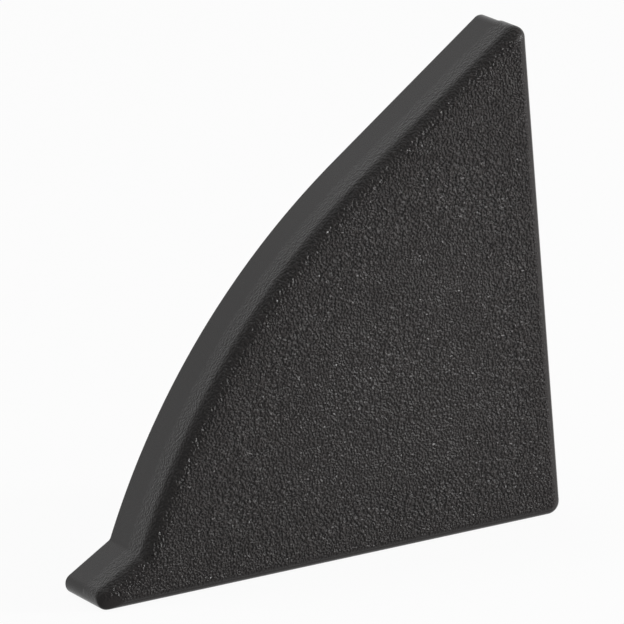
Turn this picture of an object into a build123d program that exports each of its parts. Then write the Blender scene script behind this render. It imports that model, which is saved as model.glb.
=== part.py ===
"""Left-hand end cap for a 30 x 30 mm worktop sealing strip, moulded in one piece.

The cap closes the cut end of the three-sided strip that seals the corner between
a worktop and the wall behind it. Its outer face is grained and gently crowned, a
smooth rim meets the end of the strip, and two tongues push into the hollow of
the strip.

Frame: the strip runs along +Y from the plane y = 0, the wall is the plane x = 0
and the worktop is the plane z = 0. The cap lies at x < 0 and z > 0, and its
outer face looks along -Y. All lengths are in millimetres, all angles in degrees.
"""

from build123d import *
from math import cos, radians, sin, sqrt, tan
import os

# Section of the strip, which the cap repeats
cap_height = 30.0          # top of the slope on the wall, before its corner is rounded
cap_reach = 30.0           # from the wall to the tip of the lip
slope_lean = 55.0          # straight upper slope, from the wall
straight_run = 13.2        # length of that slope, down to where the arc starts
crease_height = 2.75       # the arc stops here, in the fold with the top of the lip
lip_reach = 3.0            # from that fold to the tip
lip_slope = 30.0           # top of the lip, from the worktop

# Depth, from the end of the strip to the outer face
cap_depth = 4.9
rim_depth = 2.4            # smooth rim that meets the strip
seam_step = 0.06           # the grained front stands this much proud of the rim
crown_height = 0.22        # rise of the outer face in its middle

# Edges and corners
show_edge_radius = 0.98    # from the slope round to the outer face
seat_edge_radius = 0.58    # round the flats that lie on the wall and the worktop
heel_radius = 0.8          # corner between those two flats
fold_radius = 0.35         # between the arc and the top of the lip

# Hollow behind the outer face
side_wall = 1.2
face_wall = 1.3
hollow_corner_radius = 0.5

# Tongues that push into the strip
tongue_reach = 7.0         # beyond the rim
tongue_thickness = 1.4
strip_wall_room = 1.0      # between a tongue and the side of the hollow, for the strip
tongue_lead_in = 0.4       # chamfer round the end
wall_tongue_start = 6.5    # height above the worktop
wall_tongue_width = 10.0
foot_tongue_start = 6.5    # distance from the wall
foot_tongue_width = 13.0

# Webs that tie each tongue to the side of the hollow
web_thickness = 0.9
web_inset = 1.2            # from the side of the tongue
web_drop = 0.6             # short of the rim

# Crush ribs on the outer side of each tongue
crush_rib_radius = 0.5
crush_rib_height = 0.3     # above the tongue
crush_rib_inset = 2.4      # from the side of the tongue
crush_rib_start = 0.8      # beyond the rim
crush_rib_length = 4.4

TOUCH = 0.001              # how near counts as lying on a plane

hollow_depth = cap_depth - face_wall
tongue_offset = side_wall + strip_wall_room
lean = radians(slope_lean)
lip = radians(lip_slope)
down_slope = Vector(-sin(lean), -cos(lean))
off_slope = Vector(-cos(lean), sin(lean))
along_lip = Vector(cos(lip), sin(lip))
off_lip = Vector(-sin(lip), cos(lip))
slope_end = Vector(0, cap_height) + down_slope * straight_run
fold = Vector(lip_reach - cap_reach, crease_height)

# The convex arc leaves the slope along its line and runs through the fold
arc_chord = fold - slope_end
arc_radius = -arc_chord.dot(arc_chord) / (2 * arc_chord.dot(off_slope))
arc_centre = slope_end - off_slope * arc_radius


def arc_at_height(height, inset):
    """Point of the arc at a height above the worktop, with the arc moved in by inset."""
    rise = height - arc_centre.Y
    return Vector(arc_centre.X - sqrt((arc_radius - inset) ** 2 - rise**2), height)


def fold_point(inset):
    """Where the arc meets the top of the lip, with both moved in by inset."""
    on_lip = fold - off_lip * inset
    outward = on_lip - arc_centre
    forward = outward.dot(along_lip)
    excess = outward.dot(outward) - (arc_radius - inset) ** 2
    return on_lip - along_lip * (forward + sqrt(forward**2 - excess))


def nose_point(inset):
    """Upper corner of the tip of the lip."""
    start = fold_point(inset)
    tip = inset - cap_reach
    return Vector(tip, start.Y - (start.X - tip) * tan(lip))


def slope_line(inset, from_wall=0):
    """Straight slope, moved in by inset, from a distance off the wall to the arc."""
    top = Vector(-from_wall, cap_height - (inset + from_wall * cos(lean)) / sin(lean))
    return Line(top, slope_end - off_slope * inset)


# The blunt tip of the lip limits the edges that run round it
tip_height = nose_point(0).Y
seat_limit = tip_height / (1 + tan(radians(45) - lip / 2))
show_radius = min(show_edge_radius, 0.97 * tip_height)
seat_radius = min(seat_edge_radius, 0.92 * seat_limit)
corner_radius = max(heel_radius, seat_radius)


def cap_section(inset):
    """Section of the cap with its show side moved in by inset; top and nose stay sharp."""
    slope = slope_line(inset)
    inner_corner = fold_point(inset)
    nose = nose_point(inset)
    toe = Vector(nose.X, 0)
    arc = TangentArc(slope @ 1, inner_corner, tangent=down_slope)
    outline = Polyline(inner_corner, nose, toe, (0, 0), slope @ 0)
    section = make_face([slope, arc, outline])
    rounded = ((inner_corner, fold_radius), (toe, seat_radius), ((0, 0), corner_radius))
    for corner, radius in rounded:
        section = fillet(section.vertices().sort_by_distance(corner)[0], radius)
    return section


def rim():
    """Smooth rim, set in from the grained front on its show side."""
    section = cap_section(seam_step)
    for corner in (slope_line(seam_step) @ 0, nose_point(seam_step)):
        section = fillet(section.vertices().sort_by_distance(corner)[0], seat_radius)
    return extrude(Plane.XZ * section, rim_depth)


def on_seat(point):
    """True on the wall, on the worktop and on the blunt tip of the lip."""
    return point.X > -TOUCH or point.Z < TOUCH or point.X < TOUCH - cap_reach


def grained_front():
    """Front part, with the show edge and then the edges of the flats rounded."""
    block = extrude(Plane.XZ * cap_section(0), cap_depth)
    outer_edges = block.faces().sort_by(Axis.Y)[0].edges()
    show_edges = [e for e in outer_edges if not (on_seat(e @ 0) and on_seat(e @ 1))]
    block = fillet(show_edges, show_radius)
    flats = [f for f in block.faces() if all(on_seat(v) for v in f.vertices())]
    borders = [e for f in flats for e in f.edges()]
    seat_edges = [e for e in borders if borders.count(e) == 1 and (e @ 0.5).Y < -TOUCH]
    block = fillet(seat_edges, seat_radius)
    return split(block, Plane.XZ.offset(rim_depth), keep=Keep.TOP)


def hollow():
    """Hollow behind the outer face, which stops short of the lip."""
    inset = seam_step + side_wall
    slope = slope_line(inset, from_wall=side_wall)
    foot = arc_at_height(side_wall, inset)
    arc = TangentArc(slope @ 1, foot, tangent=down_slope)
    section = make_face([slope, arc, Polyline(foot, (-side_wall, side_wall), slope @ 0)])
    corners = section.vertices().sort_by_distance(slope @ 1)[1:]
    return extrude(Plane.XZ * fillet(corners, hollow_corner_radius), hollow_depth)


def crush_rib():
    """Half-sunk round rib along +Y, with a ball end that leads it into the strip."""
    middle = crush_rib_start + crush_rib_length / 2
    end = crush_rib_start + crush_rib_length
    rod = Pos(0, middle, 0) * Rot(90, 0, 0) * Cylinder(crush_rib_radius, crush_rib_length)
    ball = Pos(0, end, 0) * Sphere(crush_rib_radius)
    return Pos(0, 0, crush_rib_radius - crush_rib_height) * (rod + ball)


def tongue(width):
    """Tongue over the stretch of X from 0 to width, with its outer side on z = 0."""
    root = hollow_depth + face_wall / 2
    blade = Pos(width / 2, (tongue_reach - root) / 2, tongue_thickness / 2) * Box(
        width, root + tongue_reach, tongue_thickness
    )
    blade = chamfer(blade.faces().sort_by(Axis.Y)[-1].edges(), tongue_lead_in)
    web_height = strip_wall_room + side_wall / 2 + tongue_thickness / 2
    web_length = root - web_drop
    web = Pos(0, -web_drop - web_length / 2, tongue_thickness / 2 - web_height / 2) * Box(
        web_thickness, web_length, web_height
    )
    web_place = web_inset + web_thickness / 2
    webs = [Pos(x, 0, 0) * web for x in (web_place, width - web_place)]
    ribs = [Pos(x, 0, 0) * crush_rib() for x in (crush_rib_inset, width - crush_rib_inset)]
    return blade + webs + ribs


def crowned(body):
    """The body with its flat outer face replaced by one that rises in the middle."""
    outer_face = body.faces().sort_by(Axis.Y)[0]
    top_of_crown = outer_face.center() - Vector(0, crown_height, 0)
    crown = Face.make_surface(outer_face.outer_wire(), [top_of_crown])
    return Solid(Shell([f for f in body.faces() if f != outer_face] + [crown]))


def end_cap():
    """The whole moulding."""
    foot_tongue = Pos(-foot_tongue_start - foot_tongue_width, 0, tongue_offset) * tongue(
        foot_tongue_width
    )
    wall_tongue = Pos(-tongue_offset, 0, wall_tongue_start) * Rot(0, -90, 0) * tongue(
        wall_tongue_width
    )
    shell = grained_front() + rim() - hollow()
    return crowned(shell + foot_tongue + wall_tongue)


cap = end_cap()
cap.label = "end_cap"
os.makedirs("parts", exist_ok=True)
export_step(cap, "parts/end_cap.step")
print(f"end_cap: {cap.volume:.1f} mm3, valid {cap.is_valid}, {cap.bounding_box()}")
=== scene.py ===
# %% [markdown]
# # A grained end cap for a worktop strip
# The part closes the cut end of the three-sided strip that seals a worktop to the wall. It is one
# moulding of black plastic: a grained and gently crowned face, a smooth rim behind it, and two
# tongues that push into the strip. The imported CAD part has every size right, so this lesson only
# gives it the skin of the real moulding, and then sets it in plain studio light.

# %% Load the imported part
from math import acos, atan2, ceil, cos, pi, radians, sin, sqrt, tan

import bmesh
import bpy
import numpy as np
from mathutils import Matrix, Vector
from mathutils.geometry import delaunay_2d_cdt


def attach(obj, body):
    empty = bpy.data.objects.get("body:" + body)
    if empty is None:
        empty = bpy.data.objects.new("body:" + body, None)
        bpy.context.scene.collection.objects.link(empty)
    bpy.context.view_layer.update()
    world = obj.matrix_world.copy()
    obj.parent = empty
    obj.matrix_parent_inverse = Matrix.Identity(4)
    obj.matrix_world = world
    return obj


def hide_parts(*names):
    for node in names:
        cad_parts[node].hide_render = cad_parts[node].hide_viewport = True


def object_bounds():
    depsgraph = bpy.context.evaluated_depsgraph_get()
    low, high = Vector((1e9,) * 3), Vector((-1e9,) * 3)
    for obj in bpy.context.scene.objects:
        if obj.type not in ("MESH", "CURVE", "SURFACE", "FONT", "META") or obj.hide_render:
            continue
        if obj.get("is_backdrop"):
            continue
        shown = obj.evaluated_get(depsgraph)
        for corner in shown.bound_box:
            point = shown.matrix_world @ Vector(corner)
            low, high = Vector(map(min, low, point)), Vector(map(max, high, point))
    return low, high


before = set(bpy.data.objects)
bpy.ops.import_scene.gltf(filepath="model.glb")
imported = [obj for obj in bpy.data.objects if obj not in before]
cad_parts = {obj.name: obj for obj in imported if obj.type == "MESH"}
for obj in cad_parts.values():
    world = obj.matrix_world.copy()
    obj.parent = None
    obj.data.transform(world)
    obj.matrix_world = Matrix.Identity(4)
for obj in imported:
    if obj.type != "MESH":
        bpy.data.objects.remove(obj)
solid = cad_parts["end_cap"]
cad_low, cad_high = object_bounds()
MM = 0.001
print("packed part:", [round(side / MM, 2) for side in cad_high - cad_low], "mm")

# %% [markdown]
# ## The outline
# The cap repeats the section of its strip: a straight slope that runs on into a long arc, a sharp
# fold, a short lip with a blunt tip, and two flats that lie on the worktop and the wall. It could be
# traced with a curve object, but a few sizes and a tangent arc say it exactly. Two insets are kept
# apart, because the show side and the flats have edges of different radius.

# %% Sizes of the moulding, in millimetres and degrees
reach = -cad_low.x / MM
slope_top = 30.0
slope_lean = radians(55)
straight_run = 13.2
crease_height = 2.75
lip_reach = 3.0
lip_slope = radians(30)
rim_depth = 2.4
seam_step = 0.06
face_depth = 4.9
show_edge = 0.98
seat_edge = 0.58
heel_round = 0.8
fold_round = 0.35

down_slope = np.array([-sin(slope_lean), -cos(slope_lean)])
off_slope = np.array([-cos(slope_lean), sin(slope_lean)])
slope_end = np.array([0, slope_top]) + down_slope * straight_run
fold = np.array([lip_reach - reach, crease_height])
chord = fold - slope_end
arc_radius = -chord @ chord / (2 * chord @ off_slope)
arc_centre = slope_end - off_slope * arc_radius
print(f"arc of radius {arc_radius:.2f} from {slope_end.round(2)} to {fold.round(2)}")


# %% Rounded corners and evenly spaced points
def unit(vector):
    return vector / np.linalg.norm(vector)


def rounded(before, corner, after, radius, count=24):
    """Points of the arc that rounds a corner between the lines to two other points."""
    to_before = unit(before - corner)
    to_after = unit(after - corner)
    half = acos(to_before @ to_after) / 2
    centre = corner + unit(to_before + to_after) * radius / sin(half)
    start = corner + to_before * radius / tan(half) - centre
    end = corner + to_after * radius / tan(half) - centre
    turn = atan2(start[0] * end[1] - start[1] * end[0], start @ end)
    first = atan2(start[1], start[0])
    angles = first + turn * np.linspace(0, 1, count)
    return centre + radius * np.column_stack([np.cos(angles), np.sin(angles)])


def evenly(points, count):
    """The same line in count equal steps, without its last point."""
    steps = np.linalg.norm(np.diff(points, axis=0), axis=1)
    run = np.concatenate([[0], np.cumsum(steps)])
    places = np.linspace(0, run[-1], count + 1)[:-1]
    return np.column_stack([np.interp(places, run, points[:, axis]) for axis in (0, 1)])


# %% The outline as nine stretches
def stretches(show_inset, seat_inset, radii):
    """Stretches of the outline, from the wall over the slope and the lip to the worktop."""
    apex_round, tip_round, toe_round, heel = radii
    on_lip = fold + show_inset * np.array([sin(lip_slope), -cos(lip_slope)])
    along_lip = np.array([cos(lip_slope), sin(lip_slope)])
    outward = on_lip - arc_centre
    forward = outward @ along_lip
    excess = outward @ outward - (arc_radius - show_inset) ** 2
    inner_fold = on_lip - along_lip * (forward + sqrt(forward**2 - excess))
    drop = (show_inset + seat_inset * cos(slope_lean)) / sin(slope_lean)
    apex = np.array([-seat_inset, slope_top - drop])
    heel_corner = np.array([-seat_inset, seat_inset])
    slope_foot = slope_end - off_slope * show_inset
    tip_x = seat_inset - reach
    tip_z = inner_fold[1] - (inner_fold[0] - tip_x) * tan(lip_slope)
    toe = np.array([tip_x, seat_inset])
    nose = np.array([tip_x, tip_z])

    spoke = inner_fold - arc_centre
    fold_tangent = unit(np.array([-spoke[1], spoke[0]]))
    fold_bend = rounded(inner_fold - fold_tangent, inner_fold, nose, fold_round)
    first = atan2(*(slope_foot - arc_centre)[::-1])
    last = atan2(*(fold_bend[0] - arc_centre)[::-1]) % (2 * pi)
    angles = np.linspace(first, last, 400)
    bow = arc_centre + (arc_radius - show_inset) * np.column_stack([np.cos(angles), np.sin(angles)])

    if tip_z > seat_inset:
        nose_bend = rounded(inner_fold, nose, toe, tip_round)
        toe_bend = rounded(nose, toe, heel_corner, toe_round)
        tip = np.vstack([nose_bend, toe_bend])
    else:
        lip_end_x = inner_fold[0] - (inner_fold[1] - seat_inset) / tan(lip_slope)
        tip = rounded(inner_fold, np.array([lip_end_x, seat_inset]), heel_corner, tip_round)
    apex_bend = rounded(heel_corner, apex, slope_foot, apex_round)
    heel_bend = rounded(tip[-1], heel_corner, apex, heel)
    return {
        "wall": np.vstack([heel_bend[-1], apex_bend[0]]),
        "apex": apex_bend,
        "slope": np.vstack([apex_bend[-1], slope_foot]),
        "arc": bow,
        "fold": fold_bend,
        "lip": np.vstack([fold_bend[-1], tip[0]]),
        "tip": tip,
        "worktop": np.vstack([tip[-1], heel_bend[0]]),
        "heel": heel_bend,
    }


PITCH = 0.1
OUTER_ROUNDS = (seat_edge, seat_edge, seat_edge, heel_round)
FACE_ROUNDS = (0.08, 0.2, 0.2, heel_round - seat_edge)
outer = stretches(0, 0, OUTER_ROUNDS)
counts = {}
for name, points in outer.items():
    length = np.linalg.norm(np.diff(points, axis=0), axis=1).sum()
    counts[name] = ceil(length / PITCH)
around = sum(counts.values())
print(around, "stations round the outline:", counts)


def loop(parts):
    return np.vstack([evenly(points, counts[name]) for name, points in parts.items()])


outer_loop = loop(outer)
rim_loop = loop(stretches(seam_step, 0, OUTER_ROUNDS))
face_loop = loop(stretches(show_edge, seat_edge, FACE_ROUNDS))

# %% [markdown]
# ## The crown
# A big flat face on a moulding looks dead, so the toolmaker lets it swell a little. It has no edge of
# its own: it rises from the border like a soap film under slight pressure. A sphere would not meet a
# border of this shape, so the film itself is worked out: on a coarse grid, each height settles at
# the mean of its neighbours plus a small lift.

# %% Let the film settle
GRID = 0.25
across = np.arange(-reach - 1, 1, GRID)
upward = np.arange(-1, slope_top + 1, GRID)
grid_x, grid_z = np.meshgrid(across, upward, indexing="ij")


def inside(x, z, border):
    """True for the points that lie inside a closed border."""
    result = np.zeros(x.shape, bool)
    for (x1, z1), (x2, z2) in zip(border, np.roll(border, -1, axis=0)):
        if z1 == z2:
            continue
        crosses = (z1 > z) != (z2 > z)
        result ^= crosses & (x < x1 + (z - z1) * (x2 - x1) / (z2 - z1))
    return result


film_area = inside(grid_x, grid_z, face_loop[::4])
film = np.zeros_like(grid_x)
SETTLING = 4000
for _ in range(SETTLING):
    neighbours = sum(np.roll(film, shift, axis) for shift in (1, -1) for axis in (0, 1))
    film = np.where(film_area, neighbours / 4 + 1, 0)
film /= film.max()
peak = np.unravel_index(film.argmax(), film.shape)
print("the crown is highest at", across[peak[0]], upward[peak[1]])


def on_film(x, z):
    """Height of the film at a point, from 0 at the border to 1 at its peak."""
    u = (x - across[0]) / GRID
    v = (z - upward[0]) / GRID
    i = np.clip(u.astype(int), 0, len(across) - 2)
    j = np.clip(v.astype(int), 0, len(upward) - 2)
    s = u - i
    t = v - j
    near = film[i, j] * (1 - s) + film[i + 1, j] * s
    far = film[i, j + 1] * (1 - s) + film[i + 1, j + 1] * s
    return near * (1 - t) + far * t


# %% [markdown]
# ## The skin
# The skin runs from the back edge over the rim, up the small step at the parting seam, along the
# front and round its edge on to the face. Each step is a ring with one point for each station of
# the outline, so the rings make a clean net. Each ring also notes how much grain it carries: none on
# the rim and the flats, a little from the seam on, and most where the edge has turned on to the face.

# %% Rings from the back edge to the face
station_names = [name for name, count in counts.items() for _ in range(count)]
share = np.concatenate([np.linspace(0, 1, count, endpoint=False) for count in counts.values()])
smooth = share**2 * (3 - 2 * share)
edge_depth = np.full(around, show_edge)
for index, name in enumerate(station_names):
    if name in ("wall", "worktop", "heel"):
        edge_depth[index] = seat_edge
    elif name == "apex":
        edge_depth[index] = seat_edge + (show_edge - seat_edge) * smooth[index]
    elif name == "tip":
        edge_depth[index] = show_edge + (seat_edge - show_edge) * min(1, 2 * smooth[index])

CROWN_ROOM = 0.03
crown_height = -cad_low.y / MM - face_depth - CROWN_ROOM
seam_edge = 0.04


def ring(plan, depth):
    """One ring: its plan points at a depth in front of the strip's end."""
    return np.column_stack([plan[:, 0], -np.broadcast_to(depth, around), plan[:, 1]])


RIM_STEPS = 5
FRONT_STEPS = 16
EDGE_STEPS = 16
# The grain numbers set the bump and also how much painted shade the valleys get.
SEAM_GRAIN = 0.08
BEND_GRAIN = 0.4
BORDER_GRAIN = 1.25
on_show_side = np.clip((edge_depth - seat_edge) / (show_edge - seat_edge), 0, 1)
rings = []
ring_grain = []


def add_ring(plan, depth, grain):
    """Keeps one more ring and the grain of its points."""
    rings.append(ring(plan, depth))
    ring_grain.append(np.broadcast_to(grain, around))


for depth in np.linspace(0, rim_depth, RIM_STEPS):
    add_ring(rim_loop, depth, 0)
step_plan = outer_loop + (rim_loop - outer_loop) * seam_edge / seam_step
add_ring(step_plan, rim_depth, 0)
front_start = rim_depth + seam_edge
for step in np.linspace(0, 1, FRONT_STEPS):
    depth = front_start + (face_depth - edge_depth - front_start) * step
    add_ring(outer_loop, depth, on_show_side * (SEAM_GRAIN + (BEND_GRAIN - SEAM_GRAIN) * step))
for angle in np.linspace(0, pi / 2, EDGE_STEPS)[1:]:
    plan = outer_loop + (face_loop - outer_loop) * (1 - cos(angle))
    over = angle / (pi / 2)
    show_grain = BEND_GRAIN + (BORDER_GRAIN - BEND_GRAIN) * over
    seat_grain = BORDER_GRAIN * max(0, 4 * over - 3)
    grain = on_show_side * show_grain + (1 - on_show_side) * seat_grain
    add_ring(plan, face_depth - edge_depth * (1 - sin(angle)), grain)
print(len(rings), "rings")

# %% [markdown]
# ## The face
# One large face could be a single polygon, but then the crown would have nothing to bend. A lattice
# of even triangles follows it smoothly. Its points keep a little off the border, so that no triangle
# there is a sliver.

# %% Lattice of the face
row_step = PITCH * sqrt(3) / 2
lattice = []
for row, z in enumerate(np.arange(0, slope_top, row_step)):
    xs = np.arange(-reach, 0, PITCH) + (row % 2) * PITCH / 2
    lattice.append(np.column_stack([xs, np.full(len(xs), z)]))
lattice = np.vstack(lattice)
MARGIN = 0.6 * PITCH
along = np.roll(face_loop, -1, axis=0) - np.roll(face_loop, 1, axis=0)
along /= np.linalg.norm(along, axis=1)[:, None]
inner_border = face_loop + MARGIN * np.column_stack([-along[:, 1], along[:, 0]])
lattice = lattice[inside(lattice[:, 0], lattice[:, 1], inner_border)]
corners_2d = [Vector(p) for p in np.vstack([face_loop, lattice])]
flat = delaunay_2d_cdt(corners_2d, [], [list(range(around))], 1, 1e-6)
face_points = np.array([tuple(p) for p in flat[0]])
face_triangles = flat[2]
print(len(face_points), "points and", len(face_triangles), "triangles on the face")

# %% Net of the skin
face_rise = crown_height * on_film(face_points[:, 0], face_points[:, 1])
face_3d = np.column_stack([face_points[:, 0], -face_depth - face_rise, face_points[:, 1]])
inner_points = face_3d[around:]
ring_points = np.vstack(rings)
skin_points = np.vstack([ring_points, inner_points]) * MM
# More grain at the border than in the middle: a deeper bump and more painted valley shade, so the
# border is painted darker.
MIDDLE_GRAIN_AND_SHADE = 0.9
swell = on_film(face_points[around:, 0], face_points[around:, 1])
face_grain_and_shade = BORDER_GRAIN - (BORDER_GRAIN - MIDDLE_GRAIN_AND_SHADE) * swell
skin_grain_and_shade = np.concatenate([*ring_grain, face_grain_and_shade])

last_ring = (len(rings) - 1) * around
skin_faces = []
for level in range(len(rings) - 1):
    for here in range(around):
        there = (here + 1) % around
        low = level * around
        skin_faces.append((low + here, low + there, low + around + there, low + around + here))
skin_faces += [tuple(last_ring + corner for corner in triangle) for triangle in face_triangles]
print(len(skin_points), "points in the skin")

# %% [markdown]
# ## Skin and hollow in one mesh
# Behind the skin the moulding is plain: a hollow, two tongues with their webs, and crush ribs. Those
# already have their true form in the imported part, so their faces are copied from it. The flat ring
# round the mouth of the hollow then joins the copy to the back edge of the skin, which closes the
# mesh all round.

# %% Copy the hollow and close the back
skin = bmesh.new()
skin.from_mesh(solid.data)
grain_layer = skin.verts.layers.float.new("grain")
bmesh.ops.remove_doubles(skin, verts=skin.verts, dist=0.001 * MM)
NEAR = 0.002 * MM
back_ring = [f for f in skin.faces if all(abs(v.co.y) < NEAR for v in f.verts)]
bmesh.ops.delete(skin, geom=back_ring, context="FACES")
shell = {min(skin.verts, key=lambda v: v.co.y)}
frontier = list(shell)
while frontier:
    for edge in frontier.pop().link_edges:
        for vertex in edge.verts:
            if vertex not in shell:
                shell.add(vertex)
                frontier.append(vertex)
bmesh.ops.delete(skin, geom=list(shell), context="VERTS")
mouth = [e for e in skin.edges if e.is_boundary]
print(len(skin.faces), "faces copied, with", len(mouth), "edges round the mouth")

made = [skin.verts.new(point) for point in skin_points]
for vertex, grain in zip(made, skin_grain_and_shade):
    vertex[grain_layer] = grain
for corners in skin_faces:
    skin.faces.new([made[i] for i in corners])
back_edge = [skin.edges.get((made[i], made[(i + 1) % around])) for i in range(around)]
bmesh.ops.triangle_fill(skin, use_beauty=True, edges=mouth + back_edge, normal=(0, 1, 0))
bmesh.ops.recalc_face_normals(skin, faces=skin.faces)
for face in skin.faces:
    face.smooth = True
CREASE = radians(25)
for edge in skin.edges:
    edge.smooth = edge.calc_face_angle(0) < CREASE
open_edges = sum(not e.is_manifold for e in skin.edges)
print("open edges:", open_edges, "volume", round(skin.calc_volume() / MM**3, 1), "mm3")

# %% The moulding as one piece
mesh = bpy.data.meshes.new("moulded_cap")
skin.to_mesh(mesh)
skin.free()
cap = bpy.data.objects.new("moulded_cap", mesh)
bpy.context.scene.collection.objects.link(cap)
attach(cap, "root")
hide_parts("end_cap")
mesh.calc_loop_triangles()
print(len(mesh.loop_triangles), "triangles")


# %% [markdown]
# ## The plastic
# Black plastic with a moulded leather grain. The grain is a fifth of a millimetre from bump to bump,
# about as fine as the mesh itself, so it is a bump in the material, made from soft noise. The same
# noise paints shade into the colour of its valleys, as if less light reached them. The mesh says how
# much grain each point has, slightly more at the border of the face than in its middle: a deeper bump
# and more painted valley shade, which keeps the border darker. The shine is set lower than that of
# real plastic, because the surface reflects a room that is white all round.

# %% Shader maths as expressions
class Value:
    """A socket of a node tree that takes part in Python expressions."""

    def __init__(self, tree, socket=None):
        self.tree = tree
        self.socket = socket

    def node(self, kind, settings=None, sockets=None, output=0):
        """Adds a node: its settings are set first, then each socket's value or link."""
        made_node = self.tree.nodes.new(kind)
        for name, setting in (settings or {}).items():
            setattr(made_node, name, setting)
        for key, value in (sockets or {}).items():
            target = made_node.inputs[key]
            if isinstance(value, Value):
                self.tree.links.new(value.socket, target)
            else:
                target.default_value = value
        return Value(self.tree, made_node.outputs[output] if made_node.outputs else None)

    def maths(self, operation, *values):
        """Adds a Math node."""
        return self.node("ShaderNodeMath", {"operation": operation}, dict(enumerate(values)))

    def __add__(self, other):
        return self.maths("ADD", self, other)

    def __sub__(self, other):
        return self.maths("SUBTRACT", self, other)

    def __mul__(self, other):
        return self.maths("MULTIPLY", self, other)

    def __rsub__(self, other):
        return self.maths("SUBTRACT", other, self)

    __radd__ = __add__
    __rmul__ = __mul__

    def mix(self, first, second):
        """The first colour where this value is 0, the second where it is 1.

        The colours of a Mix node are its sockets 6 and 7, and its colour output is the third.
        """
        return self.node(
            "ShaderNodeMix", {"data_type": "RGBA"}, {0: self, 6: first, 7: second}, output=2
        )


def new_material(name):
    """An empty material and the value from which its nodes are made."""
    material = bpy.data.materials.new(name)
    material.use_nodes = True
    material.node_tree.nodes.clear()
    return material, Value(material.node_tree)


# %% Moulded black plastic
plastic, make = new_material("black_moulded_plastic")
GRAIN_CELL = 0.14 * MM
RELIEF = 0.21 * MM
PATCH_CELL = 1.8 * MM
SATIN_CELL = 0.05 * MM
SATIN_RELIEF = 0.012
ROUGHNESS = 0.28
SHINE = 0.165
# The valley colour is painted shade, darker where the grain dips; the crest colour is the plastic's
# own.
VALLEY_PAINTED_SHADE = (0.0065, 0.0053, 0.0053, 1)
CREST_COLOUR = (0.0205, 0.0178, 0.0172, 1)
VALLEY_FLOOR = 0.3
PAINTED_SHADE_CONTRAST = 2.5
place = make.node("ShaderNodeTexCoord", output="Object")
grain_and_shade_amount = make.node("ShaderNodeAttribute", {"attribute_name": "grain"}, output="Fac")


def noise(cell, detail=0.0, roughness=0.5, distortion=0.0):
    """A soft random pattern with cells of that size, from 0 to 1."""
    sockets = {
        "Vector": place,
        "Scale": 1 / cell,
        "Detail": detail,
        "Roughness": roughness,
        "Distortion": distortion,
    }
    return make.node("ShaderNodeTexNoise", sockets=sockets, output="Fac")


pebbles = noise(GRAIN_CELL, detail=0.5, distortion=0.2)
patches = noise(PATCH_CELL, detail=2.0)
satin = noise(SATIN_CELL, detail=1.0)
height = pebbles * grain_and_shade_amount * (0.7 + 0.6 * patches) + SATIN_RELIEF * satin
bumped = make.node(
    "ShaderNodeBump", sockets={"Height": height, "Strength": 1.0, "Distance": RELIEF}
)
# Painted shade: the colour darkens in the valleys of the grain, more where the mesh gives more grain.
painted_valley_shade = (pebbles - VALLEY_FLOOR) * grain_and_shade_amount * PAINTED_SHADE_CONTRAST + 0.5 * (1 - grain_and_shade_amount)
base = painted_valley_shade.mix(VALLEY_PAINTED_SHADE, CREST_COLOUR)
roughness = ROUGHNESS + 0.02 * grain_and_shade_amount + 0.10 * (satin - 0.5)
surface = make.node(
    "ShaderNodeBsdfPrincipled",
    sockets={
        "Base Color": base,
        "Roughness": roughness,
        "Specular IOR Level": SHINE,
        "Normal": bumped,
    },
)
make.node("ShaderNodeOutputMaterial", sockets={"Surface": surface})
mesh.materials.append(plastic)
print(len(plastic.node_tree.nodes), "nodes in the plastic")

# %% [markdown]
# ## The table and the room
# A product studio has a white sweep. It could be lit until it is white, but the same light would wash
# out a black part. So the table and the room look white to the camera and in reflections, through
# Light Path, and otherwise give only a plain light. A small share of the table stays an ordinary
# surface, which keeps some of the shadow.

# %% White table
def seen_directly(tree):
    """1 for what the camera sees, straight, in a reflection or through glass, and 0 otherwise."""
    camera_ray = tree.node("ShaderNodeLightPath", output="Is Camera Ray")
    glossy_ray = tree.node("ShaderNodeLightPath", output="Is Glossy Ray")
    through_ray = tree.node("ShaderNodeLightPath", output="Is Transmission Ray")
    return camera_ray + glossy_ray + through_ray


WHITE = (1, 1, 1, 1)
TABLE_WHITE = 0.94
table_material, make = new_material("white_table")
lit = make.node("ShaderNodeBsdfDiffuse", sockets={"Color": (0.9, 0.9, 0.9, 1)})
white = make.node("ShaderNodeEmission", sockets={"Color": WHITE, "Strength": 1.0})
glow = seen_directly(make) * TABLE_WHITE
table = make.node("ShaderNodeMixShader", sockets={0: glow, 1: lit, 2: white})
make.node("ShaderNodeOutputMaterial", sockets={"Surface": table})

table_top = bmesh.new()
bmesh.ops.create_grid(table_top, x_segments=1, y_segments=1, size=3.0)
table_mesh = bpy.data.meshes.new("table")
table_top.to_mesh(table_mesh)
table_top.free()
table_mesh.materials.append(table_material)
table_object = bpy.data.objects.new("table", table_mesh)
bpy.context.scene.collection.objects.link(table_object)
table_object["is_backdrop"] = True
print("table:", table_object.dimensions.x, "m wide")

# %% Daylight of the room
world = bpy.data.worlds.new("studio")
world.use_nodes = True
world.node_tree.nodes.clear()
make = Value(world.node_tree)
ROOM_LIGHT = 0.3
room = make.node("ShaderNodeBackground", sockets={"Color": WHITE, "Strength": ROOM_LIGHT})
backdrop = make.node("ShaderNodeBackground", sockets={"Color": WHITE, "Strength": 1.0})
seen = make.node("ShaderNodeMixShader", sockets={0: seen_directly(make), 1: room, 2: backdrop})
make.node("ShaderNodeOutputWorld", sockets={"Surface": seen})
bpy.context.scene.world = world
bpy.context.scene.view_settings.view_transform = "Standard"
print("room light:", ROOM_LIGHT)

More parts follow.
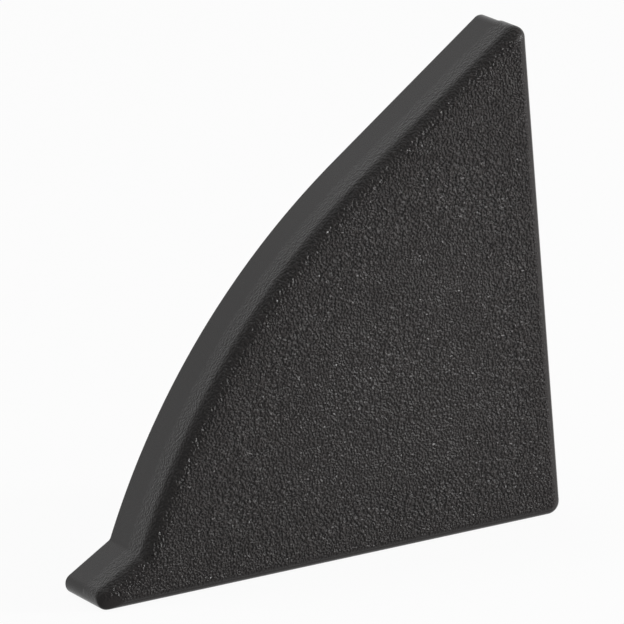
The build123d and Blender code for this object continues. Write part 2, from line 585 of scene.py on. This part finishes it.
# %% [markdown]
# ## The camera
# A part this small is shown from half a metre away through a very long lens, so that its sides stay
# nearly parallel. The camera stands to the left of the face and a little above it, and leans slightly.
# A direction and a distance from the cap say that more plainly than three coordinates.

# %% Camera
aim = Vector((-15.25, -5.0, 15.2)) * MM


def towards(azimuth, elevation):
    """Direction from the cap, with azimuth 0 in front of its face and 90 on the wall side."""
    a, e = radians(azimuth), radians(elevation)
    return Vector((sin(a) * cos(e), -cos(a) * cos(e), sin(e)))


FOCAL_LENGTH = 519.2
AZIMUTH = -25.226
ELEVATION = 15.044
LEAN = radians(4.6065)
DISTANCE = 518.12
camera_data = bpy.data.cameras.new("camera")
camera_data.lens = FOCAL_LENGTH
camera_data.sensor_width = 36.0
camera_data.clip_end = 10.0
camera = bpy.data.objects.new("camera", camera_data)
bpy.context.scene.collection.objects.link(camera)
back = towards(AZIMUTH, ELEVATION)
camera.location = aim + back * DISTANCE * MM
camera.rotation_mode = "QUATERNION"
level = back.to_track_quat("Z", "Y")
camera.rotation_quaternion = level @ Matrix.Rotation(-LEAN, 4, "Z").to_quaternion()
bpy.context.scene.camera = camera
print("camera at", [round(value, 3) for value in camera.location])


# %% [markdown]
# ## The lights
# Four round softboxes. Grain shows only when light rakes across it, so the strongest one stands low
# at the front right, near and small. One behind and above lights the slope, and two weak ones give
# the wall side and the far side their edges.

# %% Soft lights
def soft_light(name, azimuth, elevation, power, size=0.25, distance=0.6):
    """Adds a round softbox that faces the cap."""
    data = bpy.data.lights.new(name, "AREA")
    data.shape = "DISK"
    data.size = size
    data.energy = power
    lamp = bpy.data.objects.new(name, data)
    bpy.context.scene.collection.objects.link(lamp)
    lamp.location = aim + towards(azimuth, elevation) * distance
    lamp.rotation_mode = "QUATERNION"
    lamp.rotation_quaternion = towards(azimuth, elevation).to_track_quat("Z", "Y")
    print(name, power, "W")


soft_light("front_right_light", 50, 4, 1.3, size=0.06, distance=0.3)
soft_light("wall_side_light", 85, 10, 0.35)
soft_light("slope_light", 180, 70, 0.5)
soft_light("far_side_light", -115, 40, 0.12)

# %% Sizes of the dressed cap
low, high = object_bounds()
print("dressed cap:", [round(side / MM, 2) for side in high - low], "mm")
